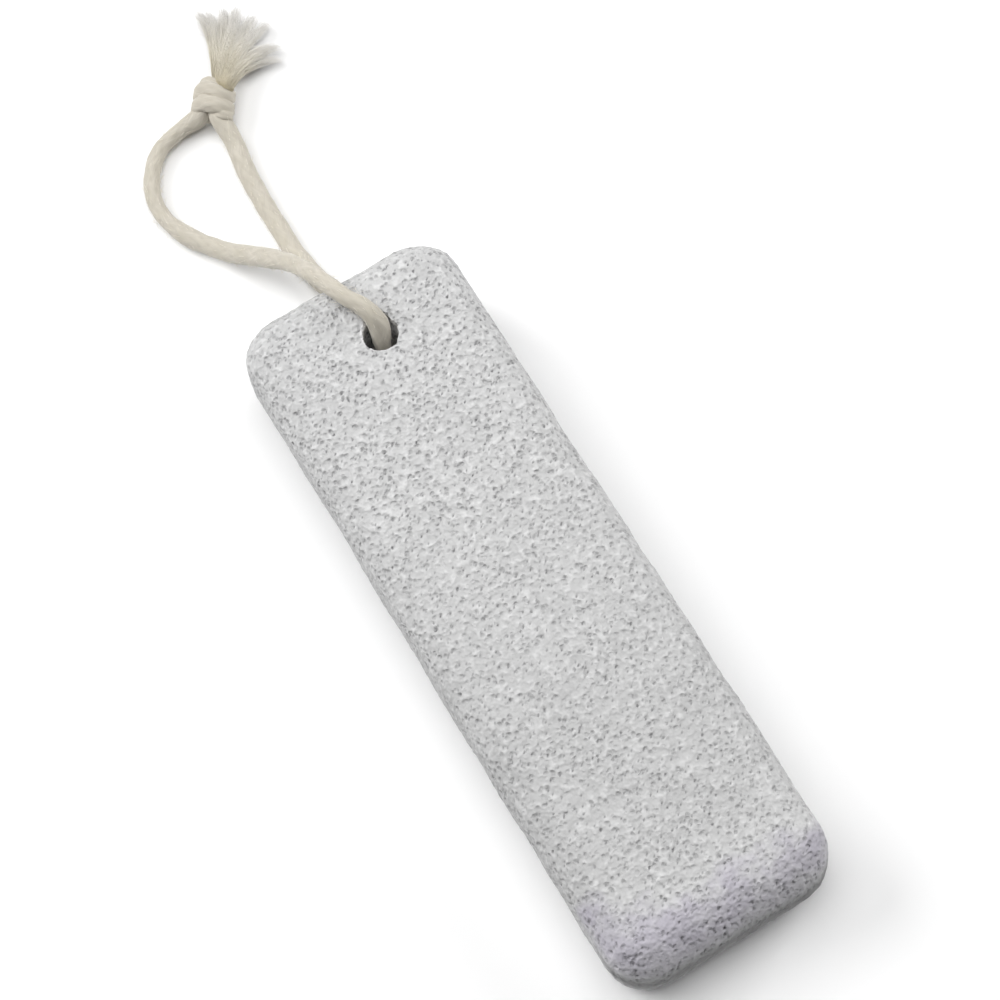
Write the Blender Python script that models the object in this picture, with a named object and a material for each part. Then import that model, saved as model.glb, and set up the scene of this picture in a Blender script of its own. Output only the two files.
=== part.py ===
"""Pumice stone on a cotton hanging cord, lying on a surface.

A bar of light grey pumice with rounded edges has a drilled hole near one end. A cotton cord goes
through the hole, is tied in one knot and ends in a frayed tuft. The stone lies on its long underside
with the hole end raised a little, because one strand of the cord passes beneath it.

Units are metres, +Z is up. The origin is under the middle of the stone, on the surface that it lies on.
+Y points along the stone towards the hole.
"""

import math
import random

import bmesh
import bpy
from mathutils import Matrix, Vector

MM = 0.001
SHARP_ANGLE = math.radians(35)
WELD_DISTANCE = 0.006 * MM

# Stone
STONE_LENGTH = 150 * MM
STONE_WIDTH = 46 * MM
STONE_THICKNESS = 20 * MM
SIDE_ROUNDING = 5.5 * MM
END_ROUNDING = 8.4 * MM
CORNER_RADII = (9.6 * MM, 9.6 * MM, 9.3 * MM, 8.7 * MM)  # left and right at the hole, far right, far left
CORNER_STEPS = 7
ROUNDING_STEPS = 5
STONE_TILT = math.radians(2.0)

# Drilled hole, in the stone's own frame
HOLE_X = 2.4 * MM
HOLE_Y = 58.35 * MM
HOLE_RADIUS = 3.65 * MM
HOLE_SIDES = 32
RIM_WEAR = 0.5 * MM
RIM_MARGIN = 2.0 * MM

# Pores
PORE_COUNT = 410
PORE_RADIUS = (0.6 * MM, 1.35 * MM)
PORE_DEPTH = 0.75  # of the radius
PORE_LIP = 0.3 * MM
PORE_SPACING = 0.8 * MM
PORE_CORNERS = (5, 6)
PORE_SEED = 8
BARE_SPOT_RADIUS = 4 * MM

# Cord
CORD_RADIUS = 2.0 * MM
CORD_STEP = 2.9 * MM
CORD_GROOVE_RADIUS = 2.45 * MM
GROOVE_SIDES = 12
GROOVE_FIRST = 21  # the route points where the groove in the hole's rims starts and ends
GROOVE_LAST = 36
CORD_ROUTE = (
    # from the knot, round the open side of the loop on the surface
    (-3.1, 132.5, 3.1),
    (-5.2, 132.85, 2.4),
    (-7.2, 132.6, 2.2),
    (-9.7, 131.7, 2.2),
    (-12.3, 130.4, 2.2),
    (-14.9, 128.4, 2.2),
    (-17.1, 125.4, 2.2),
    (-18.7, 122.0, 2.2),
    (-19.3, 118.6, 2.2),
    (-19.1, 115.3, 2.2),
    (-18.3, 111.9, 2.2),
    (-16.8, 108.2, 2.4),
    (-14.6, 104.4, 3.15),
    # up over the end of the stone
    (-12.0, 99.8, 5.0),
    (-9.0, 95.0, 8.4),
    (-6.4, 90.0, 12.6),
    (-4.4, 85.1, 17.0),
    (-2.9, 80.3, 21.0),
    (-1.65, 75.5, 24.3),
    (-0.5, 71.0, 26.4),
    (0.5, 67.0, 27.2),
    # down through the hole
    (1.3, 63.9, 26.9),
    (1.95, 61.6, 25.8),
    (2.25, 60.1, 24.3),
    (2.35, 59.1, 22.4),
    (2.35, 58.5, 20.2),
    (2.3, 58.05, 17.0),
    (2.3, 57.95, 14.0),
    (2.3, 58.15, 11.0),
    (2.2, 58.75, 8.4),
    (2.1, 59.8, 6.0),
    (2.0, 61.1, 4.4),
    (1.85, 62.9, 3.1),
    (1.65, 65.0, 2.35),
    (1.35, 67.5, 2.05),
    # along the surface, beneath the stone and the other strand, back to the knot
    (0.85, 72.0, 2.05),
    (0.2, 77.5, 2.05),
    (-0.35, 83.5, 2.05),
    (-0.55, 91.7, 2.05),
    (-0.45, 97.1, 2.05),
    (-0.4, 100.3, 2.05),
    (-0.45, 103.5, 2.05),
    (-0.4, 107.2, 2.05),
    (-0.25, 110.4, 2.05),
    (-0.1, 113.7, 2.05),
    (0.3, 117.6, 2.05),
    (0.85, 121.0, 2.1),
    (1.2, 124.1, 2.5),
    (1.2, 126.6, 3.2),
    (1.0, 128.55, 3.9),
)

# Knot
KNOT_CENTRE = (2.4 * MM, 133.9 * MM, 4.2 * MM)
KNOT_TURN = math.radians(-34)
KNOT_CORE = (3.6 * MM, 4.1 * MM, 3.3 * MM)
KNOT_BAND_RADIUS = 1.45 * MM
KNOT_BAND_STEPS = 16
KNOT_BAND_SIDES = 7
KNOT_BANDS = (
    # place along the knot, half width, half height, lean
    (-2.2 * MM, 3.0 * MM, 2.5 * MM, math.radians(-4)),
    (0.2 * MM, 3.1 * MM, 2.6 * MM, math.radians(14)),
    (2.3 * MM, 2.4 * MM, 2.1 * MM, math.radians(24)),
)

# Frayed tuft
TUFT_START = (4.9 * MM, 137.7 * MM, 3.5 * MM)
TUFT_TURN = math.radians(-48)
TUFT_LOCKS = (
    # tip to the side, along and up from the start, then the half width and half thickness in the middle
    (-8.8, 15.6, -2.1, 1.9, 1.2),
    (-6.0, 16.9, -0.4, 2.0, 1.4),
    (-3.7, 17.9, -2.3, 1.9, 1.3),
    (-1.2, 16.5, 0.2, 2.0, 1.5),
    (0.8, 16.9, -2.3, 1.9, 1.3),
    (4.2, 16.3, -0.5, 1.9, 1.4),
    (6.6, 13.5, -2.1, 1.8, 1.2),
    (9.6, 11.3, -1.1, 2.1, 1.4),
    (10.0, 7.5, -2.1, 2.1, 1.1),
)
LOCK_SIDES = 6
LOCK_STEPS = 5
LOCK_START_RADIUS = 1.8 * MM
LOCK_START_STEP = 0.17 * MM
LOCK_TIP = 0.35  # of the width in the middle

# Colours
PUMICE_GREY = (0.62, 0.62, 0.63, 1.0)
COTTON_CREAM = (0.68, 0.62, 0.51, 1.0)


def clear_scene():
    for thing in list(bpy.data.objects):
        bpy.data.objects.remove(thing, do_unlink=True)


def make_material(name, colour, roughness):
    material = bpy.data.materials.new(name)
    material.use_nodes = True
    shader = material.node_tree.nodes["Principled BSDF"]
    shader.inputs["Base Color"].default_value = colour
    shader.inputs["Roughness"].default_value = roughness
    shader.inputs["Metallic"].default_value = 0.0
    return material


def add_object(name, data, material=None):
    thing = bpy.data.objects.new(name, data)
    bpy.context.scene.collection.objects.link(thing)
    if material:
        data.materials.append(material)
    return thing


def add_cutter(name, data):
    cutter = add_object(name, data)
    cutter.hide_render = True
    cutter.display_type = "WIRE"
    return cutter


def add_boolean(target, other, operation):
    boolean = target.modifiers.new(other.name, "BOOLEAN")
    boolean.operation = operation
    boolean.solver = "EXACT"
    boolean.object = other


def add_weld(target):
    """Join points that the cuts left almost together."""
    weld = target.modifiers.new("weld", "WELD")
    weld.merge_threshold = WELD_DISTANCE


def add_triangles(target):
    """Split the faces into well shaped triangles."""
    triangles = target.modifiers.new("triangles", "TRIANGULATE")
    triangles.quad_method = "BEAUTY"
    triangles.ngon_method = "BEAUTY"


def mesh_from(bm, name):
    bmesh.ops.recalc_face_normals(bm, faces=bm.faces)
    mesh = bpy.data.meshes.new(name)
    bm.to_mesh(mesh)
    bm.free()
    mesh.shade_smooth()
    mesh.set_sharp_from_angle(angle=SHARP_ANGLE)
    return mesh


def bridge_rings(bm, rings):
    """Join rings of equal length with quads, and close both ends with one face each."""
    loops = [[bm.verts.new(point) for point in ring] for ring in rings]
    count = len(loops[0])
    for low, high in zip(loops, loops[1:]):
        for i in range(count):
            j = (i + 1) % count
            bm.faces.new((low[i], low[j], high[j], high[i]))
    bm.faces.new(loops[0])
    bm.faces.new(loops[-1])


def stone_outline():
    """Points and outward directions round the stone's plan, a rectangle with a radius on each corner."""
    half_width = STONE_WIDTH / 2
    half_length = STONE_LENGTH / 2
    corners = ((-1, 1), (1, 1), (1, -1), (-1, -1))
    outline = []
    for (side, end), radius, first in zip(corners, CORNER_RADII, (180, 90, 0, -90)):
        centre = Vector((side * (half_width - radius), end * (half_length - radius)))
        for step in range(CORNER_STEPS + 1):
            angle = math.radians(first - 90 * step / CORNER_STEPS)
            outward = Vector((math.cos(angle), math.sin(angle)))
            outline.append((centre + radius * outward, outward))
    return outline


def stone_ring(outline, face, turn):
    """One level of the rounded edge, from turn 0 at the side to a quarter turn at the face."""
    ring = []
    for place, outward in outline:
        rounding = math.hypot(SIDE_ROUNDING * outward.x, END_ROUNDING * outward.y)
        point = place - outward * rounding * (1 - math.cos(turn))
        height = STONE_THICKNESS / 2 - rounding + rounding * math.sin(turn)
        ring.append((point.x, point.y, face * height))
    return ring


def make_stone(material):
    outline = stone_outline()
    turns = [math.radians(90 * step / ROUNDING_STEPS) for step in range(ROUNDING_STEPS + 1)]
    levels = [(-1, turn) for turn in reversed(turns)] + [(1, turn) for turn in turns]
    bm = bmesh.new()
    bridge_rings(bm, [stone_ring(outline, face, turn) for face, turn in levels])
    stone = add_object("pumice_stone", mesh_from(bm, "pumice_stone"), material)
    stone.rotation_euler.x = STONE_TILT
    lay_down(stone)
    return stone


def lay_down(stone):
    """Move the turned stone so that its lowest point is on the surface and its middle over the origin."""
    turn = Matrix.Rotation(STONE_TILT, 3, "X")
    places = [turn @ vert.co for vert in stone.data.vertices]
    low_end = min(place.y for place in places)
    high_end = max(place.y for place in places)
    stone.location.y = -(low_end + high_end) / 2
    stone.location.z = -min(place.z for place in places)
    bpy.context.view_layer.update()


def make_hole_cutter():
    """A turned bar through the stone, a little wider at both faces where the rims are worn."""
    deep = STONE_THICKNESS / 2
    profile = (
        (HOLE_RADIUS + 2 * RIM_WEAR, -deep - RIM_WEAR),
        (HOLE_RADIUS, -deep + RIM_WEAR),
        (HOLE_RADIUS, deep - RIM_WEAR),
        (HOLE_RADIUS + 2 * RIM_WEAR, deep + RIM_WEAR),
    )
    bm = bmesh.new()
    rings = []
    angles = [math.tau * side / HOLE_SIDES for side in range(HOLE_SIDES)]
    for radius, height in profile:
        rings.append([(HOLE_X + radius * math.cos(a), HOLE_Y + radius * math.sin(a), height) for a in angles])
    bridge_rings(bm, rings)
    return add_cutter("hole_cutter", mesh_from(bm, "hole_cutter"))


def smooth_route(points, step):
    """Read points about one step apart from a Catmull-Rom curve through the route's points."""
    knots = [2 * points[0] - points[1], *points, 2 * points[-1] - points[-2]]
    fine = []
    for before, start, end, after in zip(knots, knots[1:], knots[2:], knots[3:]):
        for part in range(20):
            t = part / 20
            fine.append(
                0.5
                * (
                    2 * start
                    + (end - before) * t
                    + (2 * before - 5 * start + 4 * end - after) * t**2
                    + (3 * start - before - 3 * end + after) * t**3
                )
            )
    fine.append(points[-1])
    lengths = [0.0]
    for start, end in zip(fine, fine[1:]):
        lengths.append(lengths[-1] + (end - start).length)
    count = round(lengths[-1] / step)
    route = []
    index = 0
    for number in range(count + 1):
        along = lengths[-1] * number / count
        while index < len(fine) - 2 and lengths[index + 1] < along:
            index += 1
        share = (along - lengths[index]) / (lengths[index + 1] - lengths[index])
        route.append(fine[index].lerp(fine[index + 1], share))
    return route


def tube_curve(name, route, radius, resolution):
    curve = bpy.data.curves.new(name, "CURVE")
    curve.dimensions = "3D"
    curve.bevel_depth = radius
    curve.bevel_resolution = resolution
    curve.use_fill_caps = True
    spline = curve.splines.new("POLY")
    spline.points.add(len(route) - 1)
    for point, place in zip(spline.points, route):
        point.co = (*place, 1.0)
    return curve


def cord_points(first=0, last=None):
    return [Vector(point) * MM for point in CORD_ROUTE[first:last]]


def make_cord(material):
    route = smooth_route(cord_points(), CORD_STEP)
    return add_object("hanging_cord", tube_curve("hanging_cord", route, CORD_RADIUS, 2), material)


def make_groove_cutter():
    """The cord's own way through the hole, which has worn a groove into both rims."""
    route = smooth_route(cord_points(GROOVE_FIRST, GROOVE_LAST), CORD_STEP / 2)
    bm = bmesh.new()
    rings = []
    for i, place in enumerate(route):
        along = route[min(i + 1, len(route) - 1)] - route[max(i - 1, 0)]
        along.normalize()
        across = Vector((1, 0, 0)) - along * along.x
        across.normalize()
        upward = along.cross(across)
        ring = []
        for side in range(GROOVE_SIDES):
            angle = math.tau * side / GROOVE_SIDES
            ring.append(place + CORD_GROOVE_RADIUS * (math.cos(angle) * across + math.sin(angle) * upward))
        rings.append(ring)
    bridge_rings(bm, rings)
    return add_cutter("groove_cutter", mesh_from(bm, "groove_cutter"))


def point_on(mesh, areas, chance):
    """A chance point on a closed mesh of triangles, with its normal."""
    face = chance.choices(mesh.polygons, cum_weights=areas)[0]
    a, b, c = (mesh.vertices[index].co for index in face.vertices)
    u = chance.random()
    v = chance.random()
    if u + v > 1:
        u, v = 1 - u, 1 - v
    return a + u * (b - a) + v * (c - a), face.normal.copy()


def pore_places(stone, chance):
    """Chance places on the stone that are clear of each other, the hole and the bare spot below."""
    bm = bmesh.new()
    bm.from_mesh(stone.data)
    bmesh.ops.triangulate(bm, faces=bm.faces)
    surface = bpy.data.meshes.new("pore_surface")
    bm.to_mesh(surface)
    bm.free()
    areas = []
    for face in surface.polygons:
        areas.append(face.area + (areas[-1] if areas else 0.0))
    hole = Vector((HOLE_X, HOLE_Y))
    clear_of_hole = HOLE_RADIUS + 2 * RIM_WEAR + RIM_MARGIN
    pores = []
    while len(pores) < PORE_COUNT:
        place, normal = point_on(surface, areas, chance)
        radius = chance.triangular(*PORE_RADIUS, PORE_RADIUS[0])
        if (place.xy - hole).length < clear_of_hole + radius:
            continue
        if place.z < 0 and place.xy.length < BARE_SPOT_RADIUS + radius:
            continue
        if all((place - other).length > radius + size + PORE_SPACING for other, _, size in pores):
            pores.append((place, normal, radius))
    bpy.data.meshes.remove(surface)
    return pores


def make_pore_cutter(stone):
    """All pores as one cutter: each is an uneven point that goes into the stone."""
    chance = random.Random(PORE_SEED)
    bm = bmesh.new()
    for place, normal, radius in pore_places(stone, chance):
        frame = normal.to_track_quat("Z", "X").to_matrix()
        corners = chance.choice(PORE_CORNERS)
        start = chance.random() * math.tau
        stretch = chance.uniform(0.8, 1.0)
        depth = radius * PORE_DEPTH * chance.uniform(0.85, 1.15)
        mouth = radius * (1 + PORE_LIP / depth)
        ring = []
        for corner in range(corners):
            angle = start + math.tau * corner / corners
            wide = mouth * chance.uniform(0.85, 1.05)
            flat = Vector((wide * math.cos(angle), wide * stretch * math.sin(angle), PORE_LIP))
            ring.append(bm.verts.new(place + frame @ flat))
        bottom = bm.verts.new(place - normal * depth)
        bm.faces.new(ring)
        for i, vert in enumerate(ring):
            bm.faces.new((vert, bottom, ring[(i + 1) % corners]))
    return add_cutter("pore_cutter", mesh_from(bm, "pore_cutter"))


def turned_object(name, mesh, place, turn, material):
    thing = add_object(name, mesh, material)
    thing.location = place
    thing.rotation_euler.z = turn
    return thing


def band_mesh(name, along, half_width, half_height, lean):
    """A band of cord round the knot: a ring about the knot's length, wider than high, leaning."""
    bm = bmesh.new()
    grid = []
    for step in range(KNOT_BAND_STEPS):
        angle = math.tau * step / KNOT_BAND_STEPS
        outward = Vector((math.cos(angle), 0, math.sin(angle)))
        centre = Vector((half_width * outward.x, along, half_height * outward.z))
        ring = []
        for side in range(KNOT_BAND_SIDES):
            turn = math.tau * side / KNOT_BAND_SIDES
            flat = outward * math.cos(turn) + Vector((0, 1, 0)) * math.sin(turn)
            point = centre + KNOT_BAND_RADIUS * flat
            above = max(-1.0, min(1.0, point.z / half_height))
            point.y += math.tan(lean) * point.x * above
            ring.append(bm.verts.new(point))
        grid.append(ring)
    for step in range(KNOT_BAND_STEPS):
        for side in range(KNOT_BAND_SIDES):
            here, there = grid[step], grid[(step + 1) % KNOT_BAND_STEPS]
            after = (side + 1) % KNOT_BAND_SIDES
            bm.faces.new((here[side], there[side], there[after], here[after]))
    return mesh_from(bm, name)


def make_knot(material):
    """The knot: a rounded core with three bands of cord drawn tight round it."""
    bm = bmesh.new()
    bmesh.ops.create_uvsphere(bm, u_segments=14, v_segments=9, radius=1.0)
    bmesh.ops.scale(bm, vec=KNOT_CORE, verts=bm.verts)
    knot = turned_object("cord_knot", mesh_from(bm, "cord_knot"), KNOT_CENTRE, KNOT_TURN, material)
    for number, (along, half_width, half_height, lean) in enumerate(KNOT_BANDS, 1):
        name = f"knot_band_{number}"
        band = add_cutter(name, band_mesh(name, along, half_width, half_height, lean))
        band.parent = knot
        add_boolean(knot, band, "UNION")
    add_weld(knot)
    add_triangles(knot)
    return knot


def lock_mesh(name, number, side, along, up, half_width, half_thickness):
    """One lock of frayed cotton: it leaves the neck, widens, bends to its tip and thins out there."""
    tip = Vector((side, along, up)) * MM
    neck = Vector((0.1 * tip.x, number * LOCK_START_STEP, 0))
    middle = Vector((0.25 * tip.x, 0.55 * tip.y, 0.2 * tip.z))
    rings = []
    for step in range(LOCK_STEPS + 1):
        t = step / LOCK_STEPS
        centre = neck * (1 - t) ** 2 + middle * 2 * t * (1 - t) + tip * t**2
        along_lock = (middle - neck) * (1 - t) + (tip - middle) * t
        across = along_lock.cross(Vector((0, 0, 1))).normalized()
        swell = math.sin(math.pi * min(1.0, 0.25 + 0.75 * t) * 0.82)
        thin = 1 - (1 - LOCK_TIP) * t**3
        wide = (LOCK_START_RADIUS * (1 - t) + half_width * MM * t) * (0.7 + 0.5 * swell) * thin
        thick = (LOCK_START_RADIUS * (1 - t) + half_thickness * MM * t) * thin
        ring = []
        for corner in range(LOCK_SIDES):
            angle = math.tau * corner / LOCK_SIDES
            ring.append(centre + across * wide * math.cos(angle) + Vector((0, 0, thick * math.sin(angle))))
        rings.append(ring)
    bm = bmesh.new()
    bridge_rings(bm, rings)
    return mesh_from(bm, name)


def make_tuft(material):
    """The frayed end: locks of cotton that fan out from one neck, fused at their root."""
    tuft = None
    for number, lock in enumerate(TUFT_LOCKS, 1):
        name = f"lock_{number}"
        if tuft is None:
            mesh = lock_mesh("frayed_tuft", number, *lock)
            tuft = turned_object("frayed_tuft", mesh, TUFT_START, TUFT_TURN, material)
        else:
            other = add_cutter(name, lock_mesh(name, number, *lock))
            other.parent = tuft
            add_boolean(tuft, other, "UNION")
    add_weld(tuft)
    add_triangles(tuft)
    return tuft


def main():
    clear_scene()
    pumice = make_material("pumice", PUMICE_GREY, 0.95)
    cotton = make_material("cotton cord", COTTON_CREAM, 0.9)
    stone = make_stone(pumice)
    hole = make_hole_cutter()
    hole.parent = stone
    pores = make_pore_cutter(stone)
    pores.parent = stone
    add_boolean(stone, hole, "DIFFERENCE")
    add_boolean(stone, make_groove_cutter(), "DIFFERENCE")
    add_boolean(stone, pores, "DIFFERENCE")
    add_weld(stone)
    add_triangles(stone)
    make_cord(cotton)
    make_knot(cotton)
    make_tuft(cotton)


main()
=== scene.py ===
"""Pumice stone on a cotton hanging cord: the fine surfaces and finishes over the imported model.

The stone is one closed surface worked out from a block of cells, with its pores pressed in. The cord, its
knot and its frayed end are swept and spun surfaces of braided cotton. All lengths are in metres.
"""

import math

import bpy
import numpy as np
from bpy.props import FloatProperty, FloatVectorProperty, IntProperty, PointerProperty
from mathutils import Matrix, Vector


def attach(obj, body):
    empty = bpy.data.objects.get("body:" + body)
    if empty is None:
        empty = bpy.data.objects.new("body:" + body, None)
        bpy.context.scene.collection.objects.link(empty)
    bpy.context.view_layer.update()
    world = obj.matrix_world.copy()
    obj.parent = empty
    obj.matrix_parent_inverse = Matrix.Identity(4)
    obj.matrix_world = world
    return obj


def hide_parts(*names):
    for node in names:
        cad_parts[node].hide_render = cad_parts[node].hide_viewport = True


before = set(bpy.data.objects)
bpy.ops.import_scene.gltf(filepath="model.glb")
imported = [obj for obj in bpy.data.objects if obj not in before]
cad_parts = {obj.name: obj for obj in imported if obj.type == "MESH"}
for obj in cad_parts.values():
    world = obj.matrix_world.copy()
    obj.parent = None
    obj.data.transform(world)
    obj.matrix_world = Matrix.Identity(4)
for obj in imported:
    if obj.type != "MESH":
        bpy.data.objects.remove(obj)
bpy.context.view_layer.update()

bl_info = {
    "name": "Pumice stone on a cord",
    "version": (1, 0, 0),
    "blender": (4, 5, 0),
    "location": "3D View > Sidebar > Pumice stone",
    "description": "A drilled pumice bar that hangs on a knotted cotton cord",
    "category": "Add Mesh",
}

MM = 0.001
UP = np.array((0.0, 0.0, 1.0))

# Stone, in its own frame before it is tilted
CORNER_RADII = ((8.7 * MM, 9.6 * MM), (9.3 * MM, 9.6 * MM))  # left far and near the hole, then right
STONE_RISE = 12.3496 * MM  # the middle of the tilted stone above the surface
HOLE_PLACE = (2.4 * MM, 58.35 * MM)
STONE_CELLS = (96, 320, 38)
HOLE_BLOCK = 7.8 * MM  # the square of cells that is opened for the hole
HOLE_REACH = 1.95  # how far round the hole the cells bend, in halves of that square
WALL_RINGS = 30
RIM_RINGS = 3
SWELL = (0.10 * MM, 24, 26 * MM, 8 * MM)  # height, number of waves, longest and shortest wave
LUMPS = (0.04 * MM, 64, 2.4 * MM, 1.2 * MM)
JITTER = 0.05 * MM

# Pores; where nothing else is said, in radii of the pore
SMALLEST_PORE = 0.32 * MM
PORE_GROWTH = 0.22 * MM  # how much wider than the smallest the widest can be
PORE_CLEARANCE = 0.92
PORE_GAP = 0.20 * MM  # between two pores, beyond that clearance
PORE_STRETCH = (1.0, 1.5)
PORE_DEPTHS = (0.6, 1.6)
PORE_WALL = (0.35, 1.05)  # where the wall of a pore starts and ends
RIM_REACH = 0.6  # how far from its rim points are drawn to it
RIM_PULL = 0.75  # the largest share of the way that they are drawn
PORE_SLICES = 96

# Where the looks of the stone set in, each from none to full
# where the face turns slightly darker between the middle and the far end
FAR_DARKER_START = (20 * MM, -30 * MM)
FAR_DARKER_END = (-64 * MM, -54 * MM)
STAIN_START = (-64.5 * MM, -68.5 * MM)
STAIN_SLANT = (-5 * MM, -25 * MM, 0.0, -11 * MM)  # place across, and how much further they reach there
STAIN_EDGE = (2 * MM, -2 * MM)
STAIN_HEIGHTS = (13 * MM, 18 * MM)
# painted shade on the lower half of the far end, eased off near the bottom where the floor lights it
END_SHADE_START = (-62 * MM, -69 * MM)
END_SHADE_TOP = (15 * MM, 12 * MM)
END_SHADE_BOTTOM = (6 * MM, 9.5 * MM)
# painted light on the hole's wall, which lies in shade
HOLE_WALL_LIGHT = (3.9 * MM, 3.6 * MM)  # distance from the middle of the hole
CALM_START = (40 * MM, 0.0)

# Route of the cord, in millimetres: round the open side of the loop, up over the end of the stone,
# down through the hole and back beneath the stone and the other strand
CORD_ROUTE = (
    (-2.9, 132.1, 3.1), (-5.1, 132.3, 2.4), (-7.2, 132.1, 2.2), (-9.75, 131.55, 2.1),
    (-12.45, 130.55, 2.05), (-15.05, 128.5, 2.05), (-17.3, 125.5, 2.05), (-18.9, 122.05, 2.05),
    (-19.5, 118.6, 2.05), (-19.3, 115.2, 2.1), (-18.35, 111.85, 2.15), (-16.8, 108.2, 2.4),
    (-14.6, 104.4, 3.15), (-12.0, 99.8, 5.0), (-9.0, 95.0, 8.4), (-6.4, 90.0, 12.6),
    (-4.4, 85.1, 17.0), (-3.1, 80.2, 21.0), (-2.05, 75.3, 24.3), (-1.0, 70.8, 26.4),
    (0.25, 66.9, 27.2), (1.8, 64.1, 27.0), (2.75, 61.8, 26.0), (3.1, 60.2, 24.4),
    (2.85, 59.1, 22.3), (2.5, 58.5, 20.2), (2.3, 58.05, 17.0), (2.3, 57.95, 14.0),
    (2.3, 58.15, 11.0), (2.2, 58.75, 8.4), (2.1, 59.8, 6.0), (2.0, 61.1, 4.4),
    (1.95, 62.9, 3.1), (1.95, 65.0, 2.35), (2.0, 67.5, 2.05), (2.2, 72.0, 2.05),
    (2.1, 77.5, 2.05), (1.3, 83.5, 2.05), (0.1, 90.0, 2.05), (-0.45, 95.5, 2.05),
    (-0.4, 100.3, 2.05), (-0.45, 103.5, 2.05), (-0.4, 107.2, 2.05), (-0.25, 110.4, 2.05),
    (-0.1, 113.7, 2.05), (0.3, 117.6, 2.05), (0.85, 121.0, 2.1), (1.2, 124.1, 2.5),
    (1.2, 126.6, 3.2), (1.0, 128.55, 3.9),
)
START_IN_KNOT = ((1.0, 133.6, 4.1), (-1.1, 132.7, 3.8))
END_IN_KNOT = ((1.3, 130.3, 4.3), (2.0, 132.0, 4.3))
CORD_STEP = 0.26 * MM
GROOVE_STRETCH = (21, 36)  # the route's points that lie in the hole and over its rims
GROOVE_RADIUS = 2.45 * MM
HOLE_MIDDLE = 14.4 * MM  # height of the middle of the hole
HOLE_SQUEEZE = 0.20  # how much thinner the cord is in the hole
RIM_SWELL = 0.06  # how much thicker it is where it bends over the rims
RISE_SLIMMING = 0.15  # how much thinner it is pulled where it rises over the stone's end
BOW_SLIMMING = 0.17  # how much thinner it is pulled on the loop's open side
HOLE_FADE = (0.0, 7 * MM)  # distance from the hole's middle, seen from above
BORE_FADE = (4 * MM, 9 * MM)  # height above or below the hole's middle
RISE_START = (12 * MM, 19 * MM)  # height
BOW_START = (109 * MM, 115 * MM)  # place along the length of the stone
BOW_SIDE = (3 * MM, 8 * MM)  # distance to the left of the stone's middle
CURVE_PARTS = 24  # straight parts between two points of a route
CORD_SIDES = 48
CORD_SWELL = (0.018, 12, 14 * MM, 4 * MM)  # share of the radius, waves, longest and shortest wave
CORD_FLOOR = 0.02 * MM
BRAID_MEAN = 0.66  # the mean of the braid's height

# Knot, in its own frame: x across, y towards the tuft, z up
KNOT_CENTRE = (2.4 * MM, 133.9 * MM, 4.2 * MM)
KNOT_TURN = math.radians(-34)
KNOT_CORE = (3.4 * MM, 3.9 * MM, 3.1 * MM)
KNOT_BANDS = (
    # place across and along the knot, half width, half height, lean, band radius
    (0.0 * MM, -2.6 * MM, 3.0 * MM, 2.1 * MM, math.radians(-13), 1.9 * MM),
    (0.0 * MM, 0.4 * MM, 2.9 * MM, 2.1 * MM, math.radians(-24), 1.9 * MM),
    (2.1 * MM, -4.3 * MM, 1.2 * MM, 1.3 * MM, math.radians(-24), 1.4 * MM),
    (-0.4 * MM, 2.4 * MM, 1.9 * MM, 1.4 * MM, math.radians(-30), 1.4 * MM),
)
BAND_FLATNESS = 0.84
BAND_LAY = 0.8  # in the cord's lay
BAND_RELIEF = 2  # in the cord's relief
BAND_RINGS = 96
BAND_SIDES = 32
CORE_RINGS = 13
CORE_SIDES = 28
CORE_VALUE = 0.6  # of all that the finish reads; the bands cover the core
KNOT_SHADE = 0.3  # how much further the knot is shaded than the cord

# Frayed tuft, in its own frame: x across, y along, z up
TUFT_START = (4.9 * MM, 137.7 * MM, 3.5 * MM)
TUFT_TURN = math.radians(-48)
TUFT_ROOT = (3.0 * MM, -2.9 * MM, 2.0 * MM)
TUFT_NECK = (1.1 * MM, -0.1 * MM, 1.4 * MM)
TUFT_LOCKS = (
    # tip across, along and up in millimetres, then half width and half thickness
    (-10.2, 15.6, -2.1, 1.6, 1.0),
    (-7.6, 15.6, -1.2, 1.9, 1.1),
    (-5.0, 17.4, -1.4, 1.5, 1.0),
    (-2.2, 18.1, -0.8, 1.2, 1.0),
    (-0.8, 15.6, 0.1, 2.0, 1.3),
    (1.8, 17.2, -1.2, 1.4, 1.1),
    (3.8, 13.8, -0.5, 1.9, 1.2),
    (5.0, 16.4, -1.7, 1.1, 0.9),
    (8.6, 11.8, -1.4, 2.3, 1.0),
    (9.8, 9.1, -1.8, 2.2, 0.9),
)
NECK_RADII = (2.2 * MM, 1.6 * MM)
FIBRE_FLOOR = 0.15 * MM
FIBRE_SIDES = 3
FIBRE_RINGS = 8
FIBRE_LENGTHS = (1.03, 0.36, 1.8)  # longest, how much less the shortest is, and how rare short ones are
FIBRE_RADII = (0.035, 0.055)  # in millimetres
FIBRE_TAPER = 0.75
FIBRE_WAVE = 0.24 * MM
WAVE_TURNS = 2.3
NECK_SHIFT = 0.06  # how far a fibre's neck is moved towards its tip, sideways
MIDDLE_SHARE = (0.30, 0.54, 0.3)  # how far the middle is on the way to the lock's tip
MIDDLE_RISE = 0.16  # how much further along the middle of an outer lock is
SPREADS = (0.9, 1.2, 0.6)  # how wide the fibres lie at the root, in the middle and at the end
END_SCATTER = (0.45 * MM, 0.3 * MM, 0.25 * MM)
FLOOR_SPREAD = 0.3 * MM

# Loose hairs on the cord
HAIR_RINGS = 5
HAIR_STEP = 0.5 * MM
HAIR_LENGTHS = (0.5, 1.7)  # in millimetres
HAIR_RADIUS = 0.03 * MM
HAIR_ROOT = 0.94  # in radii of the cord
HAIR_TONE = 0.55  # where on a fibre of the tuft a hair's colour is taken

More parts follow.
